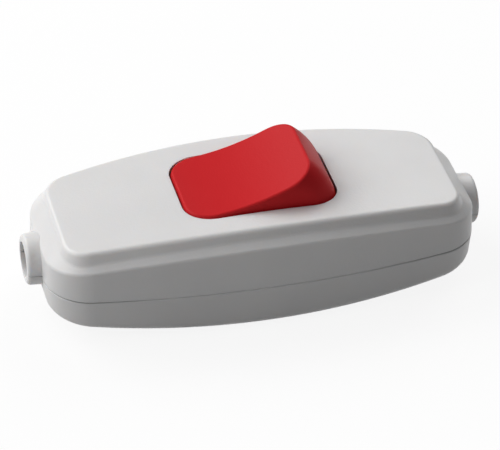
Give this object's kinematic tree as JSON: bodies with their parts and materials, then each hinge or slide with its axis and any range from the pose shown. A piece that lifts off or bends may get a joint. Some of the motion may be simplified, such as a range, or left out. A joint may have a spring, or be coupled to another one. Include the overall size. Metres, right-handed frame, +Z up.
{
  "type": "in-line cord switch",
  "caption": "In-line cord switch: white moulded shell with a crowned, stepped top and a round cord collar at each end, and a dished red rocker that tips see-saw contacts inside.",
  "frame": {"origin": "centre of the plan, at the lowest point of the belly", "axes": "+X along the cord towards the raised end of the rocker, +Y across the switch, +Z up out of the rocker's face"},
  "size_m": [0.0822, 0.0338, 0.0259],
  "materials": {
    "shell": "satin white moulding",
    "rocker": "satin red moulding",
    "plunger": "natural nylon",
    "spring": "drawn wire",
    "contact_strip": "rolled strip",
    "contact_tip": "silver alloy",
    "terminal": "machined",
    "screw": "zinc plated",
    "clamp": "moulded"
  },
  "bodies": {
    "housing": {"upper_housing": "shell", "lower_housing": "shell", "common_terminal_front": "terminal", "common_terminal_back": "terminal", "contact_terminal_front": "terminal", "contact_terminal_back": "terminal", "fixed_tips": "contact_tip", "terminal_screws": "screw", "housing_screws": "screw", "cord_clamp_left": "clamp", "cord_clamp_right": "clamp", "clamp_screws": "screw"},
    "rocker": {"rocker": "rocker", "spring_front": "spring", "spring_back": "spring"},
    "front_plunger": {"plunger_front": "plunger"},
    "back_plunger": {"plunger_back": "plunger"},
    "front_seesaw": {"seesaw_front": "contact_strip", "seesaw_tip_front": "contact_tip"},
    "back_seesaw": {"seesaw_back": "contact_strip", "seesaw_tip_back": "contact_tip"}
  },
  "joints": [
    {"name": "rocker_turn", "type": "hinge", "parent": "housing", "child": "rocker", "pos_m": [0, 0, 0.01475], "axis": [0, 1, 0], "range_deg": [0, 32.8]},
    {"name": "front_plunger_slide", "type": "slide", "parent": "rocker", "child": "front_plunger", "axis": [-0.2823, 0, 0.9593], "range_m": [0, 0.0015], "stiffness_N_per_m": 300, "springref_m": -0.003, "deforming": ["spring_front"]},
    {"name": "back_plunger_slide", "type": "slide", "parent": "rocker", "child": "back_plunger", "axis": [-0.2823, 0, 0.9593], "range_m": [0, 0.0015], "stiffness_N_per_m": 300, "springref_m": -0.003, "deforming": ["spring_back"]},
    {"name": "front_seesaw_turn", "type": "hinge", "parent": "housing", "child": "front_seesaw", "pos_m": [0, -0.0057, 0.00545], "axis": [0, 1, 0], "range_deg": [-20, 0]},
    {"name": "back_seesaw_turn", "type": "hinge", "parent": "housing", "child": "back_seesaw", "pos_m": [0, 0.0057, 0.00545], "axis": [0, 1, 0], "range_deg": [-20, 0]}
  ],
  "couplings": [
    {"joint": "front_seesaw_turn", "follows": "rocker_turn", "ratio": -0.60976},
    {"joint": "back_seesaw_turn", "follows": "rocker_turn", "ratio": -0.60976}
  ]
}
